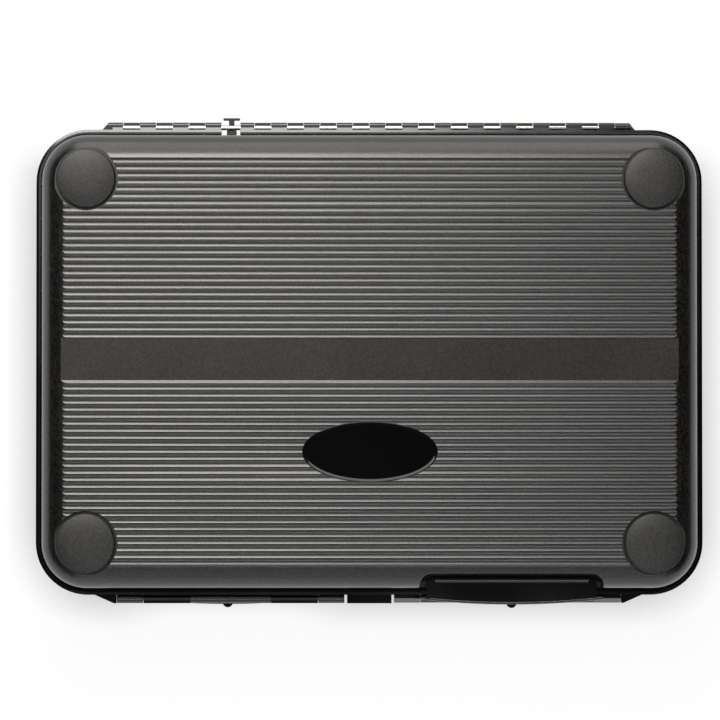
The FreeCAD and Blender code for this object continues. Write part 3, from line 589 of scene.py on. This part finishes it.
@dataclass
class Pin:
    """A drawn steel pin with chamfered ends."""

    node: str
    body: str
    finish: Finish
    chamfer_mm: float = 0.3
    steps: int = 32

    def build(self) -> None:
        """Turns the pin about its own length."""
        centre, size = middle(self.node)
        radius, half_length, chamfer = size.z / 2, size.x / 2, self.chamfer_mm * MM
        neck = radius - chamfer
        profile = [(0, -half_length), (neck, -half_length), (radius, chamfer - half_length),
                   (radius, half_length - chamfer), (neck, half_length), (0, half_length)]
        bm = spun(profile, Axis.ALONG, self.steps)
        bmesh.ops.translate(bm, vec=centre, verts=bm.verts)
        settle(f"{self.node}_rod", bm, self.finish, self.body, self.node)


@dataclass
class Latch:
    """The lever that snaps one half to the other, and the pin it turns on."""

    half: Half

    def build(self) -> None:
        """Dresses the lever and makes its pin."""
        side = self.half.value
        dress_node(f"{side}_latch_lever", BLACK_ACETAL)
        Pin(f"{side}_latch_pin", side, BLACKENED_STEEL).build()


@dataclass
class Hinge:
    """The long pin at the back, with the lanyard lug that sits on it, and the seal between the rims."""

    lug_edge_mm: float = 0.2

    def build(self) -> None:
        """Makes the pin and the lug, and dresses the gasket."""
        carrier = Half.BASE.value
        Pin("hinge_pin", carrier, STAINLESS).build()
        softened("lanyard_lug", self.lug_edge_mm, LUG_ACETAL, carrier)
        dress_node("rim_gasket", SILICONE)


@dataclass
class Badge:
    """The bare oval plate set in the lid, with a raised bead round its edge."""

    bead_mm: float = 1.1
    bead_height_mm: float = 0.3
    bead_round_mm: float = 0.4
    bead_foot_mm: float = 0.3
    bead_steps: int = 3
    segments: int = 112

    def build(self) -> None:
        """Makes the plate from an ellipse."""
        node = "badge_plate"
        centre, size = middle(node)
        bm = bmesh.new()
        made = bmesh.ops.create_circle(bm, cap_ends=True, radius=0.5, segments=self.segments)
        bmesh.ops.scale(bm, vec=(size.x, size.y, 1), verts=made["verts"])
        raised = bmesh.ops.extrude_face_region(bm, geom=bm.faces[:])["geom"]
        top_verts = [g for g in raised if isinstance(g, bmesh.types.BMVert)]
        bmesh.ops.translate(bm, vec=(0, 0, size.z), verts=top_verts)
        bmesh.ops.recalc_face_normals(bm, faces=bm.faces)
        top = [g for g in raised if isinstance(g, bmesh.types.BMFace)]
        bmesh.ops.inset_region(bm, faces=top, thickness=self.bead_mm * MM, depth=-self.bead_height_mm * MM)
        bmesh.ops.inset_region(bm, faces=top, thickness=self.bead_foot_mm * MM)
        brim = [e for e in bm.edges if all(abs(v.co.z - size.z) < MERGE_DISTANCE for v in e.verts)]
        bmesh.ops.bevel(bm, geom=brim, offset=self.bead_round_mm * MM, affect="EDGES",
                        segments=self.bead_steps, profile=ROUND_PROFILE, material=-1)
        bmesh.ops.translate(bm, vec=centre - Vector((0, 0, size.z / 2)), verts=bm.verts)
        settle(f"{node}_lacquered", bm, BLACK_LACQUER, Half.LID.value, node)


@dataclass(frozen=True)
class Softbox:
    """A soft lamp: where it hangs, how large it is and how strong."""

    name: str
    place_mm: tuple[float, float, float]
    size_mm: tuple[float, float]
    watts: float
    tint: str = "#ffffff"
    aim_mm: tuple[float, float, float] = (0, 0, 30)

    def hang(self) -> None:
        """Hangs the lamp and turns it to its aim."""
        lamp = bpy.data.lights.new(self.name, "AREA")
        lamp.shape = "RECTANGLE"
        lamp.size, lamp.size_y = (side * MM for side in self.size_mm)
        lamp.energy = self.watts
        lamp.color = linear(self.tint)[:3]
        holder = bpy.data.objects.new(self.name, lamp)
        place, aim = Vector(self.place_mm) * MM, Vector(self.aim_mm) * MM
        holder.location = place
        holder.rotation_euler = (aim - place).to_track_quat("-Z", "Y").to_euler()
        bpy.context.scene.collection.objects.link(holder)


@dataclass(frozen=True)
class Flag:
    """A black felt board beside the case that its short sides mirror, so that they stay dark."""

    name: str
    place_mm: tuple[float, float, float]
    size_mm: tuple[float, float]
    colour: str = "#050505"

    def stand(self) -> None:
        """Stands the board upright along the side of the case, and shows it in reflections alone."""
        bm = bmesh.new()
        bmesh.ops.create_grid(bm, x_segments=1, y_segments=1, size=0.5)
        height, length = (side * MM for side in self.size_mm)
        bmesh.ops.scale(bm, vec=(height, length, 1), verts=bm.verts)
        bmesh.ops.rotate(bm, matrix=Matrix.Rotation(math.pi / 2, 3, "Y"), verts=bm.verts)
        bmesh.ops.translate(bm, vec=Vector(self.place_mm) * MM, verts=bm.verts)
        board = placed(self.name, bm)
        felt = bpy.data.materials.new(f"{self.name}_felt")
        tree = fresh_tree(felt)
        matt = add_node(tree, "ShaderNodeBsdfDiffuse", {"Color": linear(self.colour)})
        add_node(tree, "ShaderNodeOutputMaterial", {"Surface": matt.outputs["BSDF"]})
        board.data.materials.append(felt)
        board.visible_camera = board.visible_diffuse = board.visible_shadow = False


@dataclass
class Studio:
    """White floor, soft lamps and the camera that looks down on the shut case."""

    floor_mm: float = 6000.0
    floor_colour: str = "#ffffff"
    floor_glow: float = 0.94
    # Reach of the painted shade that darkens the floor close to the case.
    painted_shade_reach_mm: float = 21.0
    # Where the painted shade is lifted again under the hinge, as painted light.
    painted_hinge_light_mm: float = 103.0
    painted_hinge_light_reach_mm: tuple[float, float] = (10.0, 22.0)
    horizon_colour: str = "#f4f4f3"
    zenith_colour: str = "#26272a"
    horizon_span: tuple[float, float] = (0.02, 0.1)
    eye_mm: tuple[float, float, float] = (-18.5, -41.7, 1680.0)
    aim_mm: tuple[float, float, float] = (-3.74, 0.98, 30.0)
    lens_mm: float = 202.7
    sensor_mm: float = 36.0
    clip_mm: tuple[float, float] = (100.0, 20000.0)
    lamps: list[Softbox] = field(default_factory=lambda: [
        Softbox("back_softbox", (-230, 640, 1170), (660, 460), 14.0, "#fffbf7"),
        Softbox("back_skirt", (-60, 350, 1500), (900, 360), 2.0, "#fffbf7"),
        Softbox("back_panel", (-60, 900, 360), (800, 700), 4.7, "#fffbf7"),
        Softbox("front_strip", (40, -400, 960), (640, 110), 1.6),
        Softbox("front_panel", (40, -900, 450), (1000, 880), 2.1),
    ])
    flags: list[Flag] = field(default_factory=lambda: [
        Flag("left_flag", (-320, 0, 190), (300, 460)),
        Flag("right_flag", (240, 0, 190), (300, 460)),
    ])

    def build(self) -> None:
        """Sets the floor, the world, the lamps, the flags, the camera and the colour management."""
        bpy.context.scene.view_settings.view_transform = "Standard"
        self.lay_floor()
        self.fill_world()
        for lamp in self.lamps:
            lamp.hang()
        for flag in self.flags:
            flag.stand()
        self.set_camera()

    def lay_floor(self) -> None:
        """Lays the floor, which shows white and keeps the case's shadow.

        Close to the case its glowing colour is darkened by ambient occlusion, a painted shade. That painted
        shade is lifted in a strip under the hinge, which paints light there, as light from the back would
        get through.
        """
        bm = bmesh.new()
        bmesh.ops.create_grid(bm, x_segments=1, y_segments=1, size=self.floor_mm * MM / 2)
        floor = placed("floor", bm)
        paper = bpy.data.materials.new("pale_paper")
        tree = fresh_tree(paper)
        rays = add_node(tree, "ShaderNodeLightPath")
        seen = rays.outputs["Is Camera Ray"]
        for kind in ("Is Glossy Ray", "Is Transmission Ray"):
            either = add_node(tree, "ShaderNodeMath", {0: seen, 1: rays.outputs[kind]}, operation="MAXIMUM")
            seen = either.outputs["Value"]
        share = add_node(tree, "ShaderNodeMath", {0: seen, 1: self.floor_glow}, operation="MULTIPLY")
        matt = add_node(tree, "ShaderNodeBsdfDiffuse", {"Color": linear(self.floor_colour)})
        # Painted shade: ambient occlusion darkens the floor's glowing colour close to the case.
        painted_contact_shade = add_node(tree, "ShaderNodeAmbientOcclusion",
                           {"Color": linear(self.floor_colour), "Distance": self.painted_shade_reach_mm * MM})
        place = add_node(tree, "ShaderNodeTexCoord").outputs["Object"]
        parts = add_node(tree, "ShaderNodeSeparateXYZ", {"Vector": place})
        # Painted light: in a strip under the hinge the painted shade is lifted again.
        past_hinge = add_node(tree, "ShaderNodeMath", {0: parts.outputs["Y"], 1: self.painted_hinge_light_mm * MM},
                              operation="SUBTRACT")
        away = add_node(tree, "ShaderNodeMath", {0: past_hinge.outputs["Value"]}, operation="ABSOLUTE")
        near, far = self.painted_hinge_light_reach_mm
        painted_light_share = add_node(tree, "ShaderNodeMapRange",
                       {"Value": away.outputs["Value"], "From Min": near * MM, "From Max": far * MM,
                        "To Min": 1.0, "To Max": 0.0})
        shade = add_node(tree, "ShaderNodeMix",
                         {MIX_SHARE: painted_light_share.outputs["Result"], MIX_FIRST: painted_contact_shade.outputs["Color"],
                          MIX_SECOND: linear(self.floor_colour)}, data_type="RGBA")
        white = add_node(tree, "ShaderNodeEmission", {"Color": shade.outputs[MIX_RESULT], "Strength": 1.0})
        mixed = add_node(tree, "ShaderNodeMixShader",
                         {0: share.outputs["Value"], 1: matt.outputs["BSDF"], 2: white.outputs["Emission"]})
        add_node(tree, "ShaderNodeOutputMaterial", {"Surface": mixed.outputs["Shader"]})
        floor.data.materials.append(paper)

    def fill_world(self) -> None:
        """Fills the world with a pale horizon under a dim ceiling."""
        world = bpy.data.worlds.new("studio")
        bpy.context.scene.world = world
        tree = fresh_tree(world)
        way = add_node(tree, "ShaderNodeTexCoord")
        parts = add_node(tree, "ShaderNodeSeparateXYZ", {"Vector": way.outputs["Generated"]})
        low, high = self.horizon_span
        height = add_node(tree, "ShaderNodeMapRange",
                          {"Value": parts.outputs["Z"], "From Min": low, "From Max": high})
        tint = add_node(tree, "ShaderNodeMix",
                        {MIX_SHARE: height.outputs["Result"], MIX_FIRST: linear(self.horizon_colour),
                         MIX_SECOND: linear(self.zenith_colour)}, data_type="RGBA")
        sky = add_node(tree, "ShaderNodeBackground", {"Color": tint.outputs[MIX_RESULT], "Strength": 1.0})
        add_node(tree, "ShaderNodeOutputWorld", {"Surface": sky.outputs["Background"]})

    def set_camera(self) -> None:
        """Sets the camera above the case."""
        lens = bpy.data.cameras.new("camera")
        lens.lens = self.lens_mm
        lens.sensor_width = self.sensor_mm
        lens.clip_start, lens.clip_end = (reach * MM for reach in self.clip_mm)
        camera = bpy.data.objects.new("camera", lens)
        eye, aim = Vector(self.eye_mm) * MM, Vector(self.aim_mm) * MM
        backward = (eye - aim).normalized()
        right = Vector((0, 1, 0)).cross(backward).normalized()
        turned = Matrix((right, backward.cross(right), backward)).transposed()
        camera.matrix_world = Matrix.LocRotScale(eye, turned, None)
        bpy.context.scene.collection.objects.link(camera)
        bpy.context.scene.camera = camera


def main() -> None:
    """Builds the case piece by piece, then the studio round it."""
    logging.basicConfig(level=logging.INFO, format="%(name)s %(message)s")
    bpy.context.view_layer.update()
    for half in Half:
        HalfShell(half).build()
        NotchLedge(half).build()
        FoamInsert(half).build()
        Latch(half).build()
    Hinge().build()
    Badge().build()
    Studio().build()


if __name__ == "__main__":
    main()
